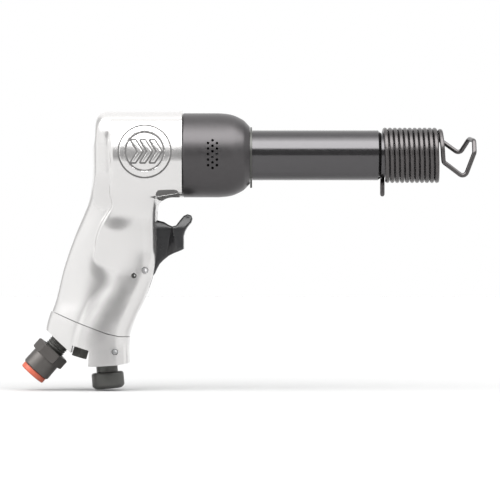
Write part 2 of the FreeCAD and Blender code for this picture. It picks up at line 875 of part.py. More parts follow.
def roll_pin(name, radius, x, z):
    """A hollow spring pin across the grip."""
    half = "pin_length / 2"
    turned_body(name, [
        (f"{radius} * pin_bore", f"-{half}"),
        (f"{radius} - 0.2", f"-{half}"),
        (radius, f"-{half} + 0.3"),
        (radius, f"{half} - 0.3"),
        (f"{radius} - 0.2", half),
        (f"{radius} * pin_bore", half),
    ], x, z, "90", ALONG_X)


def throttle_bushing():
    """The valve seat and stem guide that screws in behind the trigger."""
    guide_radius = "stem_radius + running_gap"
    outside = "throttle_bore_radius - running_gap"
    throat_front = "bushing_rear + bushing_throat_length"
    guide_rear = "bushing_front - bushing_guide_length"
    body = turned_body("throttle_bushing", [
        (guide_radius, "bushing_front"),
        (outside, "bushing_front"),
        (outside, "bushing_rear"),
        ("bushing_seat_radius", "bushing_rear"),
        ("bushing_throat_radius", "bushing_rear + 1"),
        ("bushing_throat_radius", throat_front),
        ("bushing_cavity_radius", throat_front),
        ("bushing_cavity_radius", guide_rear),
        (guide_radius, guide_rear),
    ], "0", "throttle_z")
    cylinder(body, "bushing_port", "Subtractive", "bushing_port_radius", "throttle_bore_radius + 2",
             "-throttle_bore_radius - 2", "bushing_rear + bushing_port_inset", FORWARD)


def throttle_valve():
    """The stem that the trigger pushes and the poppet that it lifts off the seat."""
    turned_body("throttle_valve", [
        ("0", "poppet_rear - poppet_tail_length"),
        ("poppet_tail_radius", "poppet_rear - poppet_tail_length"),
        ("poppet_tail_radius", "poppet_rear"),
        ("poppet_radius", "poppet_rear"),
        ("poppet_radius", "poppet_front"),
        ("stem_radius", "poppet_front"),
        ("stem_radius", "stem_tip - edge"),
        ("stem_radius - edge", "stem_tip"),
        ("0", "stem_tip"),
    ], "0", "throttle_z")


def throttle_seal():
    """The rubber washer between the poppet and its seat."""
    rear = "poppet_front + running_gap"
    front = "bushing_rear - 2 * running_gap"
    turned_body("throttle_seal", [
        ("stem_radius + running_gap", rear),
        ("poppet_radius - edge / 2", rear),
        ("poppet_radius - edge / 2", front),
        ("stem_radius + running_gap", front),
    ], "0", "throttle_z")


def throttle_spring():
    """The coil spring that holds the poppet on its seat."""
    body = new_body("throttle_spring")
    length = "(poppet_rear - spring_bore_rear - 1)"
    coil_of_wire(body, "spring_coil", "spring_wire_radius", "spring_radius", "spring_bore_rear + 0.5",
                 f"{length} / spring_turns", length)
    place(body, "0", "throttle_z", FORWARD)


# ---------------------------------------------------------------- grip's lower end


def passage_plug():
    """The hexagon plug that closes the drilled end of the grip's air passage."""
    body = turned_body("passage_plug", [
        ("0", "-plug_thread_length"),
        ("plug_thread_radius - edge", "-plug_thread_length"),
        ("plug_thread_radius", "edge - plug_thread_length"),
        ("plug_thread_radius", "plug_collar"),
        ("0", "plug_collar"),
    ], "plug_x", "plug_z", "180 + grip_lean")
    prism(body, "plug_hexagon", "Additive", "plug_hex_across", "plug_hex_length", "plug_collar")


def regulator():
    """The air flow screw: knob, neck, stem with grooves for its pin and seal, and the nose."""
    knob_top = "-regulator_neck_length"
    knob_bottom = f"{knob_top} - regulator_knob_height"
    stem_end = "regulator_stem_length"
    turned_body("regulator", [
        ("0", knob_bottom),
        ("regulator_knob_radius - 2 * edge", knob_bottom),
        ("regulator_knob_radius", f"{knob_bottom} + 2 * edge"),
        ("regulator_knob_radius", f"{knob_top} - edge"),
        ("regulator_knob_radius - edge", knob_top),
        ("regulator_stem_radius", knob_top),
        ("regulator_stem_radius", "regulator_groove_start"),
        ("regulator_groove_radius", "regulator_groove_start"),
        ("regulator_groove_radius", "regulator_groove_end"),
        ("regulator_stem_radius", "regulator_groove_end"),
        ("regulator_stem_radius", "o_ring_groove_start"),
        ("o_ring_groove_radius", "o_ring_groove_start"),
        ("o_ring_groove_radius", "o_ring_groove_end"),
        ("regulator_stem_radius", "o_ring_groove_end"),
        ("regulator_stem_radius", stem_end),
        ("passage_radius", stem_end),
        ("passage_radius - 1", f"{stem_end} + regulator_nose_length"),
        ("0", f"{stem_end} + regulator_nose_length"),
    ], "regulator_x", "regulator_z", "-regulator_lean")


def regulator_o_ring():
    """The seal in the regulator stem's upper groove."""
    rise = "(o_ring_groove_start + o_ring_groove_end) / 2"
    seal_ring("regulator_o_ring", "regulator_bore_radius - seal_radius - running_gap",
              f"regulator_x - {rise} * sin(regulator_lean)",
              f"regulator_z + {rise} * cos(regulator_lean)", "-regulator_lean")


def inlet_fitting():
    """The bushing that takes the hose plug: threaded neck, hexagon and body."""
    thread_radius = "inlet_thread_radius - running_gap"
    neck_end = "inlet_hex_start + 1"
    recess_floor = "inlet_end - cap_recess_depth"
    hose_thread_end = f"{recess_floor} - hose_thread_length"
    body = turned_body("inlet_fitting", [
        ("inlet_bore_radius", "-inlet_thread_length"),
        (thread_radius, "-inlet_thread_length"),
        (thread_radius, neck_end),
        ("inlet_body_radius", neck_end),
        ("inlet_body_radius", "inlet_end - edge"),
        ("inlet_body_radius - edge", "inlet_end"),
        ("cap_recess_radius", "inlet_end"),
        ("cap_recess_radius", recess_floor),
        ("hose_thread_radius", recess_floor),
        ("hose_thread_radius", hose_thread_end),
        ("inlet_bore_radius", hose_thread_end),
    ], "inlet_x", "inlet_z", "180 + inlet_lean")
    sketch = new_sketch(body, "inlet_hexagon_sketch", "XY_Plane", "inlet_hex_start")
    corner = "inlet_hex_across / sqrt(3)"
    angles = [FULL_TURN / HEX_SIDES * side for side in range(HEX_SIDES)]
    outline(sketch, [(f"{corner} * cos({angle})", f"{corner} * sin({angle})") for angle in angles])
    circle(sketch, "inlet_body_radius - 1")
    hexagon = body.newObject("PartDesign::Pad", "inlet_hexagon")
    hexagon.Profile = sketch
    bind(hexagon, "Length", "inlet_body_start - inlet_hex_start")


def inlet_screen():
    """A thimble-shaped strainer inside the inlet fitting."""
    outside = "inlet_bore_radius - 3 * running_gap"
    inside = f"{outside} - screen_wall"
    turned_body("inlet_screen", [
        (outside, "screen_length - screen_depth"),
        (outside, "-screen_depth"),
        ("0", "-screen_depth"),
        ("0", "screen_wall - screen_depth"),
        (inside, "screen_wall - screen_depth"),
        (inside, "screen_length - screen_depth"),
    ], "inlet_x", "inlet_z", "180 + inlet_lean")


def dust_cap():
    """A plastic cap that keeps dirt out of the inlet until a hose is fitted."""
    spigot_radius = "cap_recess_radius - cap_gap"
    spigot_end = "inlet_end - cap_recess_depth + cap_gap"
    shoulder = "inlet_end + 2 * running_gap"
    outer_face = "inlet_end + cap_thickness"
    turned_body("dust_cap", [
        ("0", spigot_end),
        (spigot_radius, spigot_end),
        (spigot_radius, shoulder),
        ("cap_radius", shoulder),
        ("cap_radius", f"{outer_face} - edge"),
        ("cap_radius - edge", outer_face),
        ("0", outer_face),
    ], "inlet_x", "inlet_z", "180 + inlet_lean")


# ---------------------------------------------------------------- whole hammer


def check_nodes():
    """Stop unless every object was computed and every piece is one or more valid solids."""
    for thing in doc.Objects:
        if "Invalid" in thing.State or "Error" in thing.State:
            raise RuntimeError(f"{thing.Name} was not computed: {thing.State}")
    for node in NODES:
        if node.Shape.isNull() or not node.Shape.isValid() or not node.Shape.Solids:
            raise RuntimeError(f"{node.Label} has no valid solid")


fill_sheet()
handle()
barrel()
piston()
valve_seat_plate()
valve_case()
valve_disc()
valve_dowel_pins()
barrel_lock_screw()
exhaust_deflector()
seal_ring("deflector_front_seal", "barrel_radius - seal_radius + running_gap", "front_seal_x")
seal_ring("deflector_rear_seal", "collar_radius - seal_radius + running_gap", "rear_seal_x")
deflector_retaining_ring()
retainer_coil()
retainer_loop()
trigger()
roll_pin("trigger_pivot_pin", "pivot_pin_radius", "pivot_x", "pivot_z")
roll_pin("trigger_stop_pin", "stop_pin_radius", "stop_pin_x", "stop_pin_z")
throttle_bushing()
throttle_valve()
throttle_seal()
throttle_spring()
passage_plug()
regulator()
regulator_o_ring()
roll_pin("regulator_pin", "regulator_pin_radius", "regulator_pin_x", "regulator_pin_z")
inlet_fitting()
inlet_screen()
dust_cap()
doc.recompute()
check_nodes()
os.makedirs("parts", exist_ok=True)
for node in NODES:
    node.Shape.exportStep(f"parts/{node.Label}.step")
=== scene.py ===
import json
import math

import bmesh
import bpy
import numpy as np
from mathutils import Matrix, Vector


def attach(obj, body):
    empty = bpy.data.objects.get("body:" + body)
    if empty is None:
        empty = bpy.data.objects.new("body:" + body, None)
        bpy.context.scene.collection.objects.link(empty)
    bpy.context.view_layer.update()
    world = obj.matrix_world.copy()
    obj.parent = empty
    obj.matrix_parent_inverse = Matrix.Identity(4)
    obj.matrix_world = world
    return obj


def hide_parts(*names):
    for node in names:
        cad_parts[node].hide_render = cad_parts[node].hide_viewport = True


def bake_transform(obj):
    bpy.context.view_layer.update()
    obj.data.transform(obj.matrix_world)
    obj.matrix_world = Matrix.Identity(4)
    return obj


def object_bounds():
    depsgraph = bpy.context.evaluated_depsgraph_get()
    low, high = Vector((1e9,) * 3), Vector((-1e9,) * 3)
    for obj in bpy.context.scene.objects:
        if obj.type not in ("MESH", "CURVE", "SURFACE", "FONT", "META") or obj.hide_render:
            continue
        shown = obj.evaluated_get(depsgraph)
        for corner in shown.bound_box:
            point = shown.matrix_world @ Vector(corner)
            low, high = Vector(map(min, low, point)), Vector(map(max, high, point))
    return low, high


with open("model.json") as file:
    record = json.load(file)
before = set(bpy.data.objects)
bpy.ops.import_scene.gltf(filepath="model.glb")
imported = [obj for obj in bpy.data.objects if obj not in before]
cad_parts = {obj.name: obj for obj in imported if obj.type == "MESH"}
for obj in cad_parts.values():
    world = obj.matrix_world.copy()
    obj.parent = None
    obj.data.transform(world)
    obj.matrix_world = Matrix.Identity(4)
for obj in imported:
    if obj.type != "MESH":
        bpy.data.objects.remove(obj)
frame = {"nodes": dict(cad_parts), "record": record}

import openvdb
from mathutils import Matrix, Vector

# Lengths below are in millimetres unless a name says otherwise; meshes are scaled to metres.
MM = 0.001
CAD_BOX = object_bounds()
HOUSING = "housing"
scene = bpy.context.scene


# ------------------------------------------------------------------ materials


BLOTCH_TO_GRAIN = 9


def new_material(name, colour, metallic, roughness, grain, depth, mottle=0.06, gloss_change=0.06):
    """A finish with a fine grain: its size and depth, how far the colour drifts and how far the
    roughness does."""
    material = bpy.data.materials.new(name)
    material.use_nodes = True
    tree = material.node_tree
    shader = tree.nodes["Principled BSDF"]
    shader.inputs["Metallic"].default_value = metallic
    coordinates = tree.nodes.new("ShaderNodeTexCoord")

    def noise(size, detail):
        texture = tree.nodes.new("ShaderNodeTexNoise")
        texture.inputs["Scale"].default_value = 1 / (size * MM)
        texture.inputs["Detail"].default_value = detail
        tree.links.new(coordinates.outputs["Object"], texture.inputs["Vector"])
        return texture.outputs["Fac"]

    fine = noise(grain, 4)
    broad = noise(BLOTCH_TO_GRAIN * grain, 3)
    tint = tree.nodes.new("ShaderNodeMix")
    tint.data_type = "RGBA"
    tint.inputs["A"].default_value = (*(max(c * (1 - mottle), 0) for c in colour), 1)
    tint.inputs["B"].default_value = (*(min(c * (1 + mottle), 1) for c in colour), 1)
    tree.links.new(broad, tint.inputs["Factor"])
    tree.links.new(tint.outputs["Result"], shader.inputs["Base Color"])
    gloss = tree.nodes.new("ShaderNodeMapRange")
    gloss.inputs["To Min"].default_value = roughness - gloss_change
    gloss.inputs["To Max"].default_value = roughness + gloss_change
    tree.links.new(broad, gloss.inputs["Value"])
    tree.links.new(gloss.outputs["Result"], shader.inputs["Roughness"])
    bump = tree.nodes.new("ShaderNodeBump")
    bump.inputs["Distance"].default_value = depth * MM
    bump.inputs["Strength"].default_value = 1
    tree.links.new(fine, bump.inputs["Height"])
    tree.links.new(bump.outputs["Normal"], shader.inputs["Normal"])
    return material


def coat(material, weight, roughness):
    """Put a clear gloss over a finish."""
    shader = material.node_tree.nodes["Principled BSDF"]
    shader.inputs["Coat Weight"].default_value = weight
    shader.inputs["Coat Roughness"].default_value = roughness
    return material


FINISHES = {
    "polished_casting": new_material(
        "polished_casting", (0.70, 0.69, 0.683), 0.92, 0.23, 0.9, 0.0015, 0.02, 0.04),
    # A dark finish for painted shade, laid where the casting is in shade: under the head and round
    # the emblem's edges.
    "painted_shade": new_material("painted_shade", (0.1, 0.098, 0.096), 0.0, 0.75, 0.5, 0.03),
    "black_barrel": new_material("black_barrel", (0.1, 0.097, 0.1), 0.95, 0.17, 0.5, 0.002),
    "ground_steel": new_material("ground_steel", (0.55, 0.55, 0.56), 1.0, 0.3, 0.4, 0.002),
    "black_steel": new_material("black_steel", (0.085, 0.085, 0.08), 0.7, 0.36, 0.4, 0.006),
    "satin_deflector": new_material(
        "satin_deflector", (0.082, 0.078, 0.08), 0.9, 0.36, 0.35, 0.006),
    "spring_wire": new_material("spring_wire", (0.1, 0.094, 0.094), 0.9, 0.28, 0.5, 0.004),
    "black_plastic": coat(
        new_material("black_plastic", (0.012, 0.012, 0.013), 0.0, 0.3, 0.3, 0.003), 0.3, 0.12),
    "red_plastic": new_material("red_plastic", (0.43, 0.085, 0.045), 0.0, 0.42, 0.6, 0.006),
    "dark_fitting": new_material("dark_fitting", (0.105, 0.098, 0.093), 0.8, 0.42, 0.5, 0.01),
    "rubber": new_material("rubber", (0.02, 0.02, 0.02), 0.0, 0.6, 0.4, 0.01),
    "brass": new_material("brass", (0.72, 0.55, 0.25), 1.0, 0.3, 0.4, 0.004),
}


def dress(piece, finish, *nodes, paint=None):
    """Give a piece its material and hide the CAD nodes it stands for. Paint is a material that
    differs from the slot's own."""
    piece.data.materials.clear()
    piece.data.materials.append(FINISHES[paint or finish])
    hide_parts(*nodes)


def finish_piece(piece, finish, body, *nodes, paint=None):
    """Dress a piece and let it move with a body."""
    dress(piece, finish, *nodes, paint=paint)
    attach(piece, body)


# ------------------------------------------------------------------ mesh tools


def new_object(name, mesh, crease=35):
    """Show a mesh, smooth but for edges sharper than that angle."""
    piece = bpy.data.objects.new(name, mesh)
    scene.collection.objects.link(piece)
    mesh.shade_smooth()
    if crease:
        mesh.set_sharp_from_angle(angle=math.radians(crease))
    return piece


def soften(corners, radius, steps=3):
    """Round the corners of a closed outline."""
    rounded = []
    points = [Vector(corner) for corner in corners]
    for number, corner in enumerate(points):
        before = points[number - 1] - corner
        after = points[(number + 1) % len(points)] - corner
        on_axis = corner.x == 0
        if on_axis or before.length < 1e-6 or after.length < 1e-6:
            rounded.append(tuple(corner))
            continue
        reach = min(radius, 0.4 * before.length, 0.4 * after.length)
        start = corner + before.normalized() * reach
        end = corner + after.normalized() * reach
        for step in range(steps + 1):
            t = step / steps
            rounded.append(tuple(start * (1 - t) ** 2 + corner * (2 * t * (1 - t)) + end * t ** 2))
    return rounded


def along_axis(origin, direction):
    """The turn and move that put +Z at the origin along a direction."""
    turn = Vector((0, 0, 1)).rotation_difference(Vector(direction)).to_matrix().to_4x4()
    return Matrix.Translation(Vector(origin) * MM) @ turn


def lathe(name, corners, origin, direction, round_by=0.3, segments=96):
    """Turn a closed outline of (radius, height) corners about an axis."""
    corners = soften(corners, round_by)
    vertices = []
    for radius, height in corners:
        for step in range(segments):
            angle = 2 * math.pi * step / segments
            vertices.append((radius * math.cos(angle) * MM, radius * math.sin(angle) * MM,
                             height * MM))
    faces = []
    for ring in range(len(corners)):
        following = (ring + 1) % len(corners)
        if corners[ring][0] == 0 and corners[following][0] == 0:
            continue
        for step in range(segments):
            turn = (step + 1) % segments
            faces.append((ring * segments + step, ring * segments + turn,
                          following * segments + turn, following * segments + step))
    mesh = bpy.data.meshes.new(name)
    mesh.from_pydata(vertices, [], faces)
    tidy_mesh(mesh)
    mesh.transform(along_axis(origin, direction))
    return new_object(name, mesh)


def tidy_mesh(mesh):
    """Merge doubled points, drop empty faces and turn all faces outwards."""
    work = bmesh.new()
    work.from_mesh(mesh)
    bmesh.ops.remove_doubles(work, verts=work.verts, dist=1e-6)
    bmesh.ops.dissolve_degenerate(work, edges=work.edges, dist=1e-7)
    bmesh.ops.recalc_face_normals(work, faces=work.faces)
    work.to_mesh(mesh)
    work.free()


def extrude(name, corners, depth, place=Matrix.Identity(4)):
    """Raise an outline of (across, up) corners to a plate centred on its own plane."""
    work = bmesh.new()
    base = [work.verts.new((a * MM, b * MM, -depth / 2 * MM)) for a, b in corners]
    face = work.faces.new(base)
    raised = bmesh.ops.extrude_face_region(work, geom=[face])
    moved = [item for item in raised["geom"] if isinstance(item, bmesh.types.BMVert)]
    bmesh.ops.translate(work, verts=moved, vec=(0, 0, depth * MM))
    bmesh.ops.recalc_face_normals(work, faces=work.faces)
    mesh = bpy.data.meshes.new(name)
    work.to_mesh(mesh)
    work.free()
    mesh.transform(place)
    return new_object(name, mesh)


def combine(piece, tool, operation="DIFFERENCE", crease=35):
    """Cut a piece by a tool, or keep what both share, and drop the tool."""
    change = piece.modifiers.new("combine", "BOOLEAN")
    change.operation = operation
    change.solver = "MANIFOLD"
    change.object = tool
    evaluated = piece.evaluated_get(bpy.context.evaluated_depsgraph_get())
    mesh = bpy.data.meshes.new_from_object(evaluated)
    piece.modifiers.clear()
    piece.data = mesh
    mesh.shade_smooth()
    mesh.set_sharp_from_angle(angle=math.radians(crease))
    bpy.data.objects.remove(tool)
    return piece


def tube(name, points, radius, sides=14):
    """A round wire along a line of points, with rounded ends."""
    points = [Vector(point) * MM for point in points]
    radius = radius * MM
    tangents = []
    for number in range(len(points)):
        ahead = points[min(number + 1, len(points) - 1)] - points[max(number - 1, 0)]
        tangents.append(ahead.normalized())
    normal = tangents[0].orthogonal().normalized()
    rings = []
    for number, (point, tangent) in enumerate(zip(points, tangents)):
        normal = (normal - tangent * normal.dot(tangent)).normalized()
        binormal = tangent.cross(normal)
        rings.append((point, tangent, normal.copy(), binormal))
    # Each station is a ring, how far past it the tip reaches and how wide it is there, both as
    # shares of the wire's radius.
    tip = ((0.6, 0.75), (0.9, 0.35))
    stations = [(rings[0], -ahead, share) for ahead, share in reversed(tip)]
    stations += [(ring, 0, 1) for ring in rings]
    stations += [(rings[-1], ahead, share) for ahead, share in tip]
    vertices = []
    for (point, tangent, across, up), ahead, share in stations:
        centre = point + tangent * ahead * radius
        for step in range(sides):
            angle = 2 * math.pi * step / sides
            outward = across * math.cos(angle) + up * math.sin(angle)
            vertices.append(centre + outward * radius * share)
    faces = [tuple(range(sides))[::-1], tuple(range(len(vertices) - sides, len(vertices)))]
    for ring in range(len(stations) - 1):
        for step in range(sides):
            turn = (step + 1) % sides
            first, second = ring * sides, (ring + 1) * sides
            faces.append((first + step, first + turn, second + turn, second + step))
    mesh = bpy.data.meshes.new(name)
    mesh.from_pydata(vertices, [], faces)
    tidy_mesh(mesh)
    return new_object(name, mesh, crease=50)


def smooth_line(points, steps=8):
    """A Catmull-Rom curve through points."""
    points = [Vector(point) for point in points]
    ends = [points[0] * 2 - points[1], *points, points[-1] * 2 - points[-2]]
    line = []
    for a, b, c, d in zip(ends, ends[1:], ends[2:], ends[3:]):
        for step in range(steps):
            t = step / steps
            line.append(0.5 * (2 * b + (c - a) * t + (2 * a - 5 * b + 4 * c - d) * t * t
                               + (3 * b - a - 3 * c + d) * t ** 3))
    line.append(points[-1])
    return line


def rounded_path(corners, bend, steps=7):
    """Straight runs joined by arcs of one radius, as points."""
    corners = [Vector(corner) for corner in corners]
    line = [corners[0]]
    for before, corner, after in zip(corners, corners[1:], corners[2:]):
        back = (before - corner).normalized()
        ahead = (after - corner).normalized()
        half_angle = back.angle(ahead) / 2
        centre = corner + (back + ahead).normalized() * bend / math.sin(half_angle)
        start = corner + back * bend / math.tan(half_angle) - centre
        end = corner + ahead * bend / math.tan(half_angle) - centre
        for step in range(steps + 1):
            line.append(centre + start.slerp(end, step / steps).normalized() * bend)
    line.append(corners[-1])
    return line


# ------------------------------------------------------------------ distance fields


def smooth_min(a, b, blend):
    """The union of two fields with a fillet of about that size."""
    share = np.clip(0.5 + 0.5 * (b - a) / blend, 0, 1)
    return b + (a - b) * share - blend * share * (1 - share)


def smooth_max(a, b, blend):
    """The common part of two fields with its edge rounded off."""
    return -smooth_min(-a, -b, blend)


def ramp(x, start, end):
    """0 before start, 1 after end, smooth between."""
    t = np.clip((x - start) / (end - start), 0, 1)
    return t * t * (3 - 2 * t)


def along_curve(places, values, x):
    """A smooth curve through the values, each at its place."""
    places = np.asarray(places, float)
    values = np.asarray(values, float)
    if places[0] > places[-1]:
        places, values = places[::-1], values[::-1]
    secants = np.diff(values) / np.diff(places)
    slopes = np.concatenate([secants[:1], (secants[:-1] + secants[1:]) / 2, secants[-1:]])
    x = np.clip(x, places[0], places[-1])
    index = np.clip(np.searchsorted(places, x) - 1, 0, len(places) - 2)
    width = places[index + 1] - places[index]
    t = (x - places[index]) / width
    return ((1 + 2 * t) * (1 - t) ** 2 * values[index] + t * (1 - t) ** 2 * width * slopes[index]
            + t * t * (3 - 2 * t) * values[index + 1] - t * t * (1 - t) * width * slopes[index + 1])


def polygon_field(x, z, corners):
    """The signed distance to a closed outline, negative inside."""
    nearest = np.full(np.shape(x), 1e9)
    inside = np.zeros(np.shape(x), bool)
    for (x0, z0), (x1, z1) in zip(corners, corners[1:] + corners[:1]):
        run, rise = x1 - x0, z1 - z0
        t = np.clip(((x - x0) * run + (z - z0) * rise) / (run * run + rise * rise), 0, 1)
        nearest = np.minimum(nearest, (x - x0 - t * run) ** 2 + (z - z0 - t * rise) ** 2)
        if z0 != z1:
            crosses = ((z0 > z) != (z1 > z)) & (x < x0 + (z - z0) * run / rise)
            inside ^= crosses
    return np.where(inside, -1, 1) * np.sqrt(nearest)


def sculpt(name, field, lowest, highest, cell, crease=0):
    """Turn a distance field into a mesh, then move its points onto the field's zero surface."""
    counts = [int(math.ceil((b - a) / cell)) + 1 for a, b in zip(lowest, highest)]
    axes = [a + cell * np.arange(n) for a, n in zip(lowest, counts)]
    grid = openvdb.FloatGrid(1000.0)
    grid.copyFromArray(field(*np.meshgrid(*axes, indexing="ij")).astype(np.float32))
    points, triangles, quads = grid.convertToPolygons(isovalue=0.0, adaptivity=0.0)
    points = points * cell + np.array(lowest)
    rounds = 3
    step = 0.05
    least_slope = 0.05
    for _ in range(rounds):
        slope = np.stack([
            field(*(points + step * axis).T) - field(*(points - step * axis).T)
            for axis in np.eye(3)
        ], axis=1) / (2 * step)
        steepness = np.maximum((slope ** 2).sum(axis=1), least_slope)
        move = -(field(*points.T) / steepness)[:, None] * slope
        points = points + np.clip(move, -cell / 2, cell / 2)
    mesh = bpy.data.meshes.new(name)
    mesh.from_pydata((points * MM).tolist(), [], quads.tolist() + triangles.tolist())
    return new_object(name, mesh, crease)


# ------------------------------------------------------------------ the cast handle

HEAD_REAR = -218.2
HEAD_FRONT = -162.9
HEAD_TOP = 27.7
HEAD_BOTTOM = -26.7
HEAD_SHOULDER = 16
HEAD_FLAT_HALF = 6.4
FLANGE_REAR = -164.5
FLANGE_STEP = 0.35
PANEL_TOP = 21.5
HEAD_PANEL_HALF = 26.4
# The head's panel bends below the middle by a radius, and above a soft fold leans in by a slope.
PANEL_CURVE = 60
PANEL_LEAN = 0.27
FOLD_HEIGHT = 2
FOLD_SOFTNESS = 4
GRIP_CURVE = 60
# Where the rounding of the grip's panels gives way to the head's, and the panels' front edge does.
GRIP_ROUND_BELOW = (-40, -20)
HEAD_FRONT_ABOVE = (-27.6, -23.5)
# Fillets between the parts of the casting, and roundings of the panels' edges.
CORE_FILLET = 9
PANEL_FILLET = 1.2
BOSS_FILLET = 2.5
GRIP_FRONT_ROUNDING = 9
HEAD_FRONT_ROUNDING = 1
CREASE_ROUNDING = 2.4
PANEL_TOP_ROUNDING = 1.6
# Hollows for the thumb and the palm: middle (x, z), reach along x and z, and depth.
HOLLOWS = (((-205, -37), (14, 13), 1.2), ((-212, -69), (12, 13), 0.6))
# Heights, and the grip's rear and front edges, half widths, the ridge and the rear edge of its
# panels there.
REAR_HEIGHTS = (4, -13.2, -23.5, -36.3, -51.6, -72.1, -92.6, -105.4, -125.2)
REAR_EDGE = (-218.2, -218.2, -220.2, -225.3, -231.7, -238.7, -243.8, -248.3, -251.5)
FRONT_HEIGHTS = (-15, -31.2, -38.8, -60.6, -69.6, -77.2, -92.6, -101.6, -116.3, -136)
FRONT_EDGE = (-178.3, -178.6, -179.2, -179.2, -180.2, -181.8, -187.5, -192, -197.1, -197.4)
WIDTH_HEIGHTS = (-5, -20, -35, -50, -70, -90, -110, -136)
SPINE_HALF = (23.0, 20.2, 16.2, 14.9, 14.4, 15.0, 16.2, 17.0)
PANEL_HALF = (26.0, 23.6, 20.6, 19.0, 17.1, 17.5, 18.6, 19.4)
RIDGE_HEIGHTS = (-28, -42, -60, -78, -96, -114, -136)
RIDGE = (-205, -204, -200, -193, -203, -212, -213)
CREASE_HEIGHTS = (28, -2, -8.1, -24.8, -31.8, -38.2, -51, -61.2, -73.4, -86.2, -103.5, -118.2, -136)
CREASE = (-208.2, -208.2, -207.6, -208.6, -208.0, -211.6, -217.0, -218.6, -218.8, -220.9, -226.9,
          -230.7, -234)
INLET = (-240.9, 0, -119.4)
INLET_LEAN = math.radians(41.7)
INLET_OUT = (-math.sin(INLET_LEAN), 0, -math.cos(INLET_LEAN))
REGULATOR = (-211.34, 0, -134.5)
REGULATOR_LEAN = math.radians(5)
REGULATOR_DOWN = (math.sin(REGULATOR_LEAN), 0, -math.cos(REGULATOR_LEAN))
REGULATOR_BOSS = 13.3
BOSS_TOP = -106
PLUG = (-227.2, 0, -122.8)
PLUG_LEAN = math.radians(16.5)
PLUG_DOWN = (-math.sin(PLUG_LEAN), 0, -math.cos(PLUG_LEAN))
TRIGGER_PIVOT = (-186.4, -73.5)
TRIGGER_STOP = (-193.4, -76.9)
REGULATOR_PIN = (-205.4, -125.2)
LOCK_SCREW_X = -179.8
BARREL_BORE = 20
SLOT_WIDTH = 9.8
SEAM_GAP = 0.45
BASE_STEP = 0.4
SEAM = ((-262, -93.7), (-245.1, -100.3), (-229.2, -107.1), (-211.2, -113.9), (-202.9, -115.8),
        (-170, -116.5))


def head_core(x, y, z):
    """The round-shouldered block that the barrel screws into."""
    middle = (HEAD_TOP + HEAD_BOTTOM) / 2
    across = np.maximum(np.abs(y) - HEAD_FLAT_HALF, 0)
    up = np.maximum(np.abs(z - middle) - ((HEAD_TOP - HEAD_BOTTOM) / 2 - HEAD_SHOULDER), 0)
    block = smooth_max(np.sqrt(across ** 2 + up ** 2) - HEAD_SHOULDER, HEAD_REAR - x, CORE_FILLET)
    return np.maximum(block, x - HEAD_FRONT)


def grip_core(x, y, z):
    """The oval spine of the grip, narrower than the side panels."""
    rear = along_curve(REAR_HEIGHTS, REAR_EDGE, z)
    front = along_curve(FRONT_HEIGHTS, FRONT_EDGE, z)
    half = along_curve(WIDTH_HEIGHTS, SPINE_HALF, z)
    out = np.sqrt(((2 * x - front - rear) / (front - rear)) ** 2 + (y / half) ** 2)
    spine_top = 4
    return smooth_max((out - 1) * half, z - spine_top, 4)


def panel_half(x, z):
    """How far the side panels stand from the middle plane. Above a soft fold the head's panel
    leans in; the grip's panel is a little round across, highest along a slanting ridge."""
    above = z - FOLD_HEIGHT
    lean = PANEL_LEAN * (above + np.sqrt(above ** 2 + FOLD_SOFTNESS ** 2)) / 2
    on_head = HEAD_PANEL_HALF - lean - np.minimum(z, 0) ** 2 / (2 * PANEL_CURVE)
    from_ridge = x - along_curve(RIDGE_HEIGHTS, RIDGE, z)
    on_grip = along_curve(WIDTH_HEIGHTS, PANEL_HALF, z)
    on_grip = on_grip - (1 - ramp(z, *GRIP_ROUND_BELOW)) * from_ridge ** 2 / (2 * GRIP_CURVE)
    return np.where(z > WIDTH_HEIGHTS[0], on_head, on_grip)


def side_panels(x, y, z):
    """The raised side faces, from the crease at the back to the rounded front edge."""
    on_head = ramp(z, *HEAD_FRONT_ABOVE)
    front = along_curve(FRONT_HEIGHTS, FRONT_EDGE, z) * (1 - on_head) + (HEAD_FRONT + 1) * on_head
    rear = along_curve(CREASE_HEIGHTS, CREASE, z)
    rounding = GRIP_FRONT_ROUNDING + (HEAD_FRONT_ROUNDING - GRIP_FRONT_ROUNDING) * on_head
    panel = smooth_max(np.abs(y) - panel_half(x, z), x - front, rounding)
    panel = smooth_max(panel, rear - x, CREASE_ROUNDING)
    return np.maximum(smooth_max(panel, z - PANEL_TOP, PANEL_TOP_ROUNDING), x - HEAD_FRONT)


def regulator_boss(x, y, z):
    """The round foot of the grip that the regulator screws into."""
    across = x - REGULATOR[0] - (z - REGULATOR[2]) * math.tan(-REGULATOR_LEAN)
    return smooth_max(np.sqrt(across ** 2 + y ** 2) - REGULATOR_BOSS, z - BOSS_TOP, 6)


def handle_field(x, y, z):
    """The whole casting but for its bores, slot and lower end."""
    body = smooth_min(head_core(x, y, z), grip_core(x, y, z), CORE_FILLET)
    body = smooth_min(body, side_panels(x, y, z), PANEL_FILLET)
    body = smooth_min(body, regulator_boss(x, y, z), BOSS_FILLET)
    for middle, reach, depth in HOLLOWS:
        out = np.sqrt(((x - middle[0]) / reach[0]) ** 2 + ((z - middle[1]) / reach[1]) ** 2)
        body = body + depth * (1 - ramp(out, 0, 1))
    return body


THROUGH = 80
UPRIGHT = Matrix.Rotation(math.radians(90), 4, "X")


def rod_cutter(radius, origin, direction, length, segments=96):
    """A round cutter that starts at a point."""
    corners = [(0, 0), (radius, 0), (radius, length), (0, length)]
    return lathe("cutter", corners, origin, direction, round_by=0, segments=segments)


def cross_hole(piece, radius, place):
    """Drill a hole right across the tool at an (x, z) place."""
    combine(piece, rod_cutter(radius, (place[0], -THROUGH / 2, place[1]), (0, 1, 0), THROUGH))


def flat_cutter(corners, depth=THROUGH):
    """An outline of (x, z) corners as a plate across the tool."""
    return extrude("cutter", corners, depth, place=UPRIGHT)


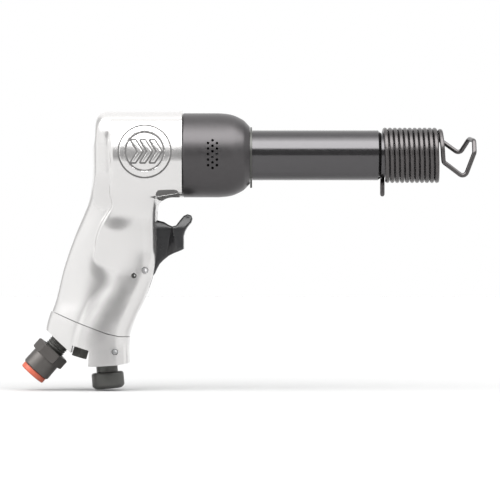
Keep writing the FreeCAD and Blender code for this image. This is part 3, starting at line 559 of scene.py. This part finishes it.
def slice_cutter(rear, front):
    """All that lies between two places along the barrel."""
    reach = THROUGH / 2
    return flat_cutter([(rear, -reach), (front, -reach), (front, reach), (rear, reach)])


def bore(piece, radius, place, outward, depth, lead=3):
    """Drill a hole from a face, starting a little in front of it."""
    outward = Vector(outward)
    combine(piece, rod_cutter(radius, Vector(place) + outward * lead, -outward, depth))


def cut_grip_end(piece):
    """Cut the inlet face, the plug's notch and the boss's foot, and the openings in them."""
    slope = math.tan(INLET_LEAN)
    rise, drop = 25, 7.9
    far_below = 40
    face = [(INLET[0] - rise, INLET[2] + rise * slope), (INLET[0] + drop, INLET[2] - drop * slope),
            (INLET[0] + drop, INLET[2] - far_below), (INLET[0] - rise, INLET[2] - far_below)]
    combine(piece, flat_cutter(face))
    notch = [(-232.5, PLUG[2] + 1.6), (-221.8, PLUG[2] - 1.8), (-223.7, PLUG[2] - 30),
             (-240, PLUG[2] - 30)]
    combine(piece, flat_cutter(notch))
    foot = [(-260, -134.9), (-223.7, -134.6), (-218.2, -134.7), (-204.2, -133.8), (-190, -131.4),
            (-190, -160), (-260, -160)]
    combine(piece, flat_cutter(foot))
    bore(piece, 7.1, INLET, INLET_OUT, 12)
    bore(piece, 4.9, PLUG, PLUG_DOWN, 10)
    bore(piece, 7.3, REGULATOR, REGULATOR_DOWN, 14)
    cross_hole(piece, 2.1, REGULATOR_PIN)


def cast_top(cell, below_seam):
    """The head and the grip down to the seam, with the trigger's slot, the pins and the bore."""
    top = sculpt("cast_handle", handle_field, (-256, -29, -138), (-161, 29, 30), cell)
    combine(top, flat_cutter([(x, z + SEAM_GAP) for x, z in below_seam]))
    slot = [(-188.7, -36), (-150, -36), (-150, -84.5), (-199, -84.5), (-199, -66), (-188.7, -66)]
    combine(top, flat_cutter(slot, SLOT_WIDTH))
    cross_hole(top, 2.15, TRIGGER_PIVOT)
    cross_hole(top, 1.65, TRIGGER_STOP)
    combine(top, rod_cutter(2.6, (LOCK_SCREW_X, 0, 20), (0, 0, 1), 20))
    combine(top, slice_cutter(FLANGE_REAR, -150))
    combine(top, rod_cutter(BARREL_BORE, (-197, 0, 0), (1, 0, 0), 60))
    finish_piece(top, "polished_casting", HOUSING, "handle")


def cast_base(cell, below_seam):
    """The grip's end below the seam, which stands a little proud."""
    base = sculpt("cast_base", lambda x, y, z: handle_field(x, y, z) - BASE_STEP,
                  (-258, -21, -140), (-186, 21, -90), cell)
    combine(base, flat_cutter(below_seam), "INTERSECT")
    cut_grip_end(base)
    finish_piece(base, "polished_casting", HOUSING, "handle")


def machined_flange(cell):
    """The turned face of the head that the deflector runs against."""
    def field(x, y, z):
        return handle_field(np.minimum(x, FLANGE_REAR), y, z) - FLANGE_STEP

    flange = sculpt("machined_flange", field, (-168, -29, -30), (-160, 29, 30), cell)
    combine(flange, slice_cutter(FLANGE_REAR, HEAD_FRONT), "INTERSECT")
    combine(flange, rod_cutter(BARREL_BORE, (-170, 0, 0), (1, 0, 0), 20))
    finish_piece(flange, "polished_casting", HOUSING, "handle")


def cast_handle():
    """The casting, in two pieces along its seam, and its machined flange."""
    cell = 0.75
    below_seam = [*SEAM, (-170, -160), (-262, -160)]
    cast_top(cell, below_seam)
    cast_base(cell, below_seam)
    machined_flange(cell)


def skin(lift, outline, edge):
    """A field for a thin sheet on the casting's surface, within an outline of x and z."""
    def field(x, y, z):
        surface = handle_field(x, y, z)
        return smooth_max(outline(x, z), np.maximum(surface - lift, -1 - surface), edge)
    return field


def head_underside_shade():
    """The patch under the head, a thin dark sheet of painted shade where the underside curves in
    below the flange.
    """
    middle, half_length, half_height, corner = (-172, -25.8), 4.5, 0.4, 3

    def outline(x, z):
        across = np.maximum(np.abs(x - middle[0]) - half_length, 0)
        up = np.maximum(np.abs(z - middle[1]) - half_height, 0)
        return np.sqrt(across ** 2 + up ** 2) - corner

    shade_patch = sculpt("head_underside_shade", skin(0.15, outline, 0.3), (-181, -28, -31), (-163, 28, -21), 0.6)
    combine(shade_patch, slice_cutter(FLANGE_REAR, -150))
    # The patch takes the dark finish: painted shade under the head.
    finish_piece(shade_patch, "polished_casting", HOUSING, "handle", paint="painted_shade")


EMBLEM = (-186.3, 1.8)
RING_MIDDLE = 14.35
RING_HALF_WIDTH = 1.8
ARROW_STARTS = (-8.5, -2.5, 3.5)
ARROW_HALF_HEIGHT = 7
ARROW_THICKNESS = 2.6
ARROW_TIP = 7
ARROW_NOTCH = 4.4
# Half the width of the painted shade line round the emblem's edges.
EDGE_SHADE_HALF_WIDTH = 1.0


def emblem_outline(x, z):
    """A ring round three arrowheads that point along the barrel."""
    across, up = x - EMBLEM[0], z - EMBLEM[1]
    shape = np.abs(np.sqrt(across ** 2 + up ** 2) - RING_MIDDLE) - RING_HALF_WIDTH
    for start in ARROW_STARTS:
        arrow = [(start, ARROW_HALF_HEIGHT), (start + ARROW_THICKNESS, ARROW_HALF_HEIGHT),
                 (start + ARROW_TIP, 0), (start + ARROW_THICKNESS, -ARROW_HALF_HEIGHT),
                 (start, -ARROW_HALF_HEIGHT), (start + ARROW_NOTCH, 0)]
        shape = np.minimum(shape, polygon_field(across, up, arrow))
    return shape


def emblem():
    """The raised mark on the near side of the head, with a line of painted shade round its edges.
    """
    def edge_shade_outline(x, z):
        return np.abs(emblem_outline(x, z)) - EDGE_SHADE_HALF_WIDTH

    low = (EMBLEM[0] - 18, -27.5, EMBLEM[1] - 18)
    high = (EMBLEM[0] + 18, -21.5, EMBLEM[1] + 18)
    cell = 0.4
    mark = sculpt("emblem", skin(0.45, emblem_outline, 0.25), low, high, cell, crease=40)
    edge = sculpt("emblem_edge_shade", skin(0.2, edge_shade_outline, 0.25), low, high, cell)
    finish_piece(mark, "polished_casting", HOUSING, "handle")
    # The line round the edges takes the dark finish: painted shadow of the fillets at the mark's
    # foot.
    finish_piece(edge, "polished_casting", HOUSING, "handle", paint="painted_shade")


cast_handle()
head_underside_shade()
emblem()


# ------------------------------------------------------------------ exhaust deflector and retainer


def exhaust_deflector():
    """The shell that turns round the barrel, with its group of small exhaust holes."""
    nose = smooth_line([(26.9, -139.5), (26.4, -134), (25.2, -129.3), (22.6, -124.2),
                        (20.4, -121.8), (18.2, -119.8)])
    corners = [(21.3, -162.6), (26.3, -162.6), (26.9, -161.9), *[tuple(p) for p in nose],
               (16.2, -119.8), (16.2, -125.8), (24.2, -142), (24.2, -157.3), (21.3, -157.3)]
    shell = lathe("exhaust_deflector", corners, (0, 0, 0), (1, 0, 0), round_by=0.25, segments=128)
    hole_radius = 0.85
    middle_column, column_pitch, row_pitch = -143.4, 2.8, 3.5
    for column, rows in ((-1, 5), (0, 6), (1, 5)):
        for row in range(rows):
            x = middle_column + column_pitch * column
            z = row_pitch * (row - (rows - 1) / 2)
            combine(shell, rod_cutter(hole_radius, (x, -30, z), (0, 1, 0), 12, segments=20))
    finish_piece(shell, "satin_deflector", "deflector", "exhaust_deflector")


def retainer_wire():
    """One wire: a tail, a close coil screwed on the muzzle, and the loop that holds the tool."""
    wire_radius = 1.45
    radius = 16.3
    pitch = 3.17
    start = -35
    turns = 11.45
    tail_share = 0.03
    steps = 44
    tail = smooth_line([(start, 0, -25), (start, 0, -21), (start, 0.1, -18.4),
                        (start + 0.05, 1.6, -16.5)], 4)
    coil = []
    for step in range(int(tail_share * steps), int(turns * steps) + 1):
        angle = 2 * math.pi * step / steps
        coil.append((start + pitch * step / steps, radius * math.sin(angle),
                     -radius * math.cos(angle)))
    loop = rounded_path([(3.6, -13.7, -4.9), (17, -10.2, -14.8), (23.2, -10.6, 1.5),
                         (23.2, -6.8, 9), (21, 6.8, 10.8), (15, 9.8, 1.2), (2.4, 11.4, 10.4)], 3)
    crossing = smooth_line([coil[-1], (1.8, -5.6, 15.1), (2.2, -11.4, 11.0), (2.6, -14.6, 5.4),
                            (2.9, -15.0, 0.4), (3.2, -14.3, -3.2), loop[0]], 6)
    wire = tube("retainer_wire", [*tail[:-1], *coil[1:-1], *crossing[:-1], *loop], wire_radius)
    dress(wire, "spring_wire", "retainer_coil", "retainer_loop")
    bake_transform(wire)


def throttle_spring():
    """The coil behind the throttle's poppet."""
    rear, front, level = -217.5, -209.5, -54
    wire_radius = 0.4
    radius = 3.7
    turns = 5
    steps = 24
    line = []
    for step in range(turns * steps + 1):
        angle = 2 * math.pi * step / steps
        along = rear + (front - rear) * step / (turns * steps)
        line.append((along, radius * math.sin(angle), level + radius * math.cos(angle)))
    coil = tube("throttle_spring", line, wire_radius, sides=10)
    dress(coil, "ground_steel", "throttle_spring")
    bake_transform(coil)


exhaust_deflector()
retainer_wire()
throttle_spring()


# ------------------------------------------------------------------ trigger

TRIGGER_OUTLINE = [
    (-183.5, -40.9), (-179.5, -41.4), (-174.7, -42.6), (-171.6, -44.5), (-169.2, -45.5),
    (-166.9, -44.9), (-164.4, -41.6), (-162.2, -38.9), (-159.6, -37.7), (-157.2, -38.5),
    (-156.4, -40.8), (-157.2, -43.1), (-159.6, -45.9), (-161.1, -48.6), (-162, -51.7),
    (-162, -60), (-164.6, -61.2), (-168.4, -62.7), (-171.6, -64.3), (-174.7, -66.8),
    (-177.4, -69.5), (-179.1, -72.6), (-180.5, -75.7), (-181.8, -77.2), (-183.4, -81.1),
    (-195.9, -81.1), (-195.9, -78.7), (-188.4, -78.7), (-190.6, -76.9), (-191.8, -73.5),
    (-190.6, -70.1), (-187.9, -68.3), (-183.5, -67.0)]


def trigger():
    """A thin web in the slot that flares by a facet into the wide finger pad, with a horn on
    top."""
    apex, web_foot, pad_foot = (-169.6, -45.2), (-173.2, -62.6), (-165.6, -62.6)
    web_half, pad_half = 4.5, 9.5
    horn_narrower = 2.5
    facet_top = apex[1] - 2
    narrowest_facet = 0.5
    flatten = 0.8

    def behind(x, z, foot):
        edge = apex[0] + (apex[1] - z) * (foot[0] - apex[0]) / (apex[1] - foot[1])
        return x - edge

    def field(x, y, z):
        past_web = behind(x, np.minimum(z, facet_top), web_foot)
        past_pad = behind(x, np.minimum(z, facet_top), pad_foot)
        share = np.clip(past_web / np.maximum(past_web - past_pad, narrowest_facet), 0, 1)
        half = web_half + (pad_half - web_half) * share
        half = half - horn_narrower * ramp(z, -48, -38)
        return smooth_max(polygon_field(x, z, TRIGGER_OUTLINE), np.abs(y) - half, 1.4) * flatten

    cell = 0.55
    lever = sculpt("trigger", field, (-198, -11, -84), (-154, 11, -35), cell)
    combine(lever, rod_cutter(2.05, (TRIGGER_PIVOT[0], -20, TRIGGER_PIVOT[1]), (0, 1, 0), 40))
    finish_piece(lever, "black_plastic", "trigger_lever", "trigger")


trigger()


# ------------------------------------------------------------------ lower end of the grip


def hexagon(name, across, start, end, origin, direction, chamfer=0.9, turn=0):
    """A hexagon along an axis with its corners turned off."""
    circumradius = across / math.sqrt(3)
    corners = [(circumradius * math.cos(math.radians(60 * side + turn)),
                circumradius * math.sin(math.radians(60 * side + turn))) for side in range(6)]
    place = along_axis(origin, direction) @ Matrix.Translation((0, 0, (start + end) / 2 * MM))
    prism = extrude(name, corners, end - start, place=place)
    limit = [(0, start), (circumradius - chamfer, start), (circumradius, start + chamfer * 0.6),
             (circumradius, end - chamfer * 0.6), (circumradius - chamfer, end), (0, end)]
    combine(prism, lathe("cutter", limit, origin, direction, round_by=0), "INTERSECT", crease=20)
    return prism


def inlet_fitting():
    """The bushing that takes the hose: threaded neck, hexagon and round body."""
    ridges, first_ridge, ridge_pitch = 8, -5.6, 1.4
    root, crest = 6.2, 6.8
    thread = []
    for ridge in range(ridges):
        height = first_ridge + ridge_pitch * ridge
        thread += [(root, height), (crest, height + ridge_pitch / 2)]
    neck = lathe("inlet_neck", [(5, -6), (root, -6), *thread, (root, 6.4), (root, 8), (5, 8)],
                 INLET, INLET_OUT, round_by=0.15)
    finish_piece(neck, "dark_fitting", HOUSING, "inlet_fitting", paint="black_steel")
    corners = [(5.4, 6.8), (9.3, 7), (9.6, 23.3), (9.0, 24), (7, 24), (7, 21), (5.6, 21), (5.4, 9)]
    body = lathe("inlet_fitting", corners, INLET, INLET_OUT, round_by=0.25)
    finish_piece(body, "dark_fitting", HOUSING, "inlet_fitting")
    nut = hexagon("inlet_hexagon", 20, 6.5, 13.5, INLET, INLET_OUT)
    combine(nut, rod_cutter(8, INLET, INLET_OUT, 30))
    finish_piece(nut, "dark_fitting", HOUSING, "inlet_fitting")


def dust_cap():
    """The plastic cap in the end of the fitting."""
    corners = [(0, 21.3), (6.7, 21.3), (6.7, 24.1), (8.7, 24.1), (8.7, 27.2), (8.2, 27.7),
               (5.6, 27.7), (5.2, 27.3), (0, 27.3)]
    cap = lathe("dust_cap", corners, INLET, INLET_OUT, round_by=0.5)
    finish_piece(cap, "red_plastic", "cap", "dust_cap")


def passage_plug():
    """The plug of the drilled air passage, with its hexagon head."""
    corners = [(0, -5), (4, -5), (4.7, -4.2), (4.7, 0.3), (0, 0.3)]
    stem = lathe("passage_plug", corners, PLUG, PLUG_DOWN)
    head = hexagon("plug_head", 9.5, 0.3, 6.6, PLUG, PLUG_DOWN, chamfer=0.6, turn=30)
    finish_piece(stem, "black_steel", HOUSING, "passage_plug")
    finish_piece(head, "black_steel", HOUSING, "passage_plug")


def regulator():
    """The flow screw: a smooth knob on a neck, and the stem inside the grip."""
    corners = [(0, 14.7), (8.2, 14.7), (10.3, 12.9), (10.3, 5.2), (9.4, 4.2), (6.85, 4.2),
               (6.85, -6.5), (4.6, -6.5), (4.6, -11.5), (6.85, -11.5), (6.85, -14.5), (5.3, -14.5),
               (5.3, -16.7), (6.85, -16.7), (6.85, -20), (4.2, -20), (3.2, -30), (0, -30)]
    knob = lathe("regulator", corners, REGULATOR, REGULATOR_DOWN, round_by=0.6)
    finish_piece(knob, "black_steel", "flow_regulator", "regulator")


inlet_fitting()
dust_cap()
passage_plug()
regulator()


# ------------------------------------------------------------------ floor, light and camera


def add_floor():
    """A plain pale floor just under the tool."""
    size = 4
    gap = 0.0005
    grey = 0.42
    level = CAD_BOX[0][2] - gap
    mesh = bpy.data.meshes.new("floor")
    corners = [(-size, -size, level), (size, -size, level), (size, size, level),
               (-size, size, level)]
    mesh.from_pydata(corners, [], [(0, 1, 2, 3)])
    floor = bpy.data.objects.new("floor", mesh)
    scene.collection.objects.link(floor)
    material = bpy.data.materials.new("pale_floor")
    material.use_nodes = True
    tree = material.node_tree
    shader = tree.nodes["Principled BSDF"]
    shader.inputs["Base Color"].default_value = (grey, grey, grey, 1)
    shader.inputs["Roughness"].default_value = 0.9
    shader.inputs["Specular IOR Level"].default_value = 0.1
    mesh.materials.append(material)


def level_ramp(tree, value, levels):
    """A grey level that follows a value, through (place, level) pairs."""
    ramp_node = tree.nodes.new("ShaderNodeValToRGB")
    while len(ramp_node.color_ramp.elements) < len(levels):
        ramp_node.color_ramp.elements.new(0.5)
    for element, (place, level) in zip(ramp_node.color_ramp.elements, levels):
        element.position = place
        element.color = (level, level, level, 1)
    tree.links.new(value, ramp_node.inputs["Fac"])
    return ramp_node.outputs["Color"]


def part_way(tree, value, start, end):
    """0 where the value is at the start, 1 at the end."""
    node = tree.nodes.new("ShaderNodeMapRange")
    node.inputs["From Min"].default_value = start
    node.inputs["From Max"].default_value = end
    tree.links.new(value, node.inputs["Value"])
    return node.outputs["Result"]


def blend_colours(tree, share, first, second):
    """A mix of two colours, each a socket or a grey level."""
    node = tree.nodes.new("ShaderNodeMix")
    node.data_type = "RGBA"
    tree.links.new(share, node.inputs["Factor"])
    for name, colour in (("A", first), ("B", second)):
        if isinstance(colour, (int, float)):
            node.inputs[name].default_value = (colour, colour, colour, 1)
        else:
            tree.links.new(colour, node.inputs[name])
    return node.outputs["Result"]


# Levels of the room by place, from the tool's inlet end (0) to its muzzle end (1).
NEAR_WALLS = ((0.0, 1.1), (0.27, 1.05), (0.38, 0.24), (0.62, 0.24), (0.74, 0.7), (1, 0.8))
FAR_WALLS = ((0.05, 1.15), (0.12, 0.6), (0.2, 0.6), (0.3, 1.15), (0.7, 1.15), (0.8, 0.6),
             (0.88, 0.6), (0.95, 1.15))
# The soft box: its levels by height, and the heights between which the near walls give way to it.
SOFT_BOX = ((0.9, 5.5), (1.0, 2.4))
SOFT_BOX_EDGE = (0.47, 0.52)
NEAR_TO_FAR = (-0.15, 0.15)


def add_world():
    """A white room with a soft box over its near half. The near walls are dim round the camera,
    and the far walls mildly dim in two places. The camera itself sees plain white."""
    world = bpy.data.worlds.new("studio")
    scene.world = world
    world.use_nodes = True
    tree = world.node_tree
    direction = tree.nodes.new("ShaderNodeTexCoord")
    parts = tree.nodes.new("ShaderNodeSeparateXYZ")
    tree.links.new(direction.outputs["Generated"], parts.inputs["Vector"])
    across = part_way(tree, parts.outputs["X"], -1, 1)
    walls = level_ramp(tree, across, NEAR_WALLS)
    soft_box = level_ramp(tree, parts.outputs["Z"], SOFT_BOX)
    near = blend_colours(tree, part_way(tree, parts.outputs["Z"], *SOFT_BOX_EDGE), walls, soft_box)
    far = level_ramp(tree, across, FAR_WALLS)
    room = blend_colours(tree, part_way(tree, parts.outputs["Y"], *NEAR_TO_FAR), near, far)
    path = tree.nodes.new("ShaderNodeLightPath")
    seen = blend_colours(tree, path.outputs["Is Camera Ray"], room, 1.0)
    tree.links.new(seen, tree.nodes["Background"].inputs["Color"])


def add_camera():
    """A long lens square to the tool's side, level with its middle."""
    data = bpy.data.cameras.new("camera")
    camera = bpy.data.objects.new("camera", data)
    scene.collection.objects.link(camera)
    middle = (-0.1197, -0.0606)
    distance = 2.0
    frame_width = 0.320
    data.sensor_width = 36
    data.lens = data.sensor_width * distance / frame_width
    data.clip_end = 50
    camera.location = (middle[0], -distance, middle[1])
    camera.rotation_euler = (math.pi / 2, 0, 0)
    scene.camera = camera
    scene.view_settings.view_transform = "Standard"


add_floor()
add_world()
add_camera()
SLOT_OF = {entry["node"]: entry["material_slot"] for entry in frame["record"]["subparts"]}
for name, node in frame["nodes"].items():
    node.data.materials.clear()
    node.data.materials.append(FINISHES[SLOT_OF[name]])
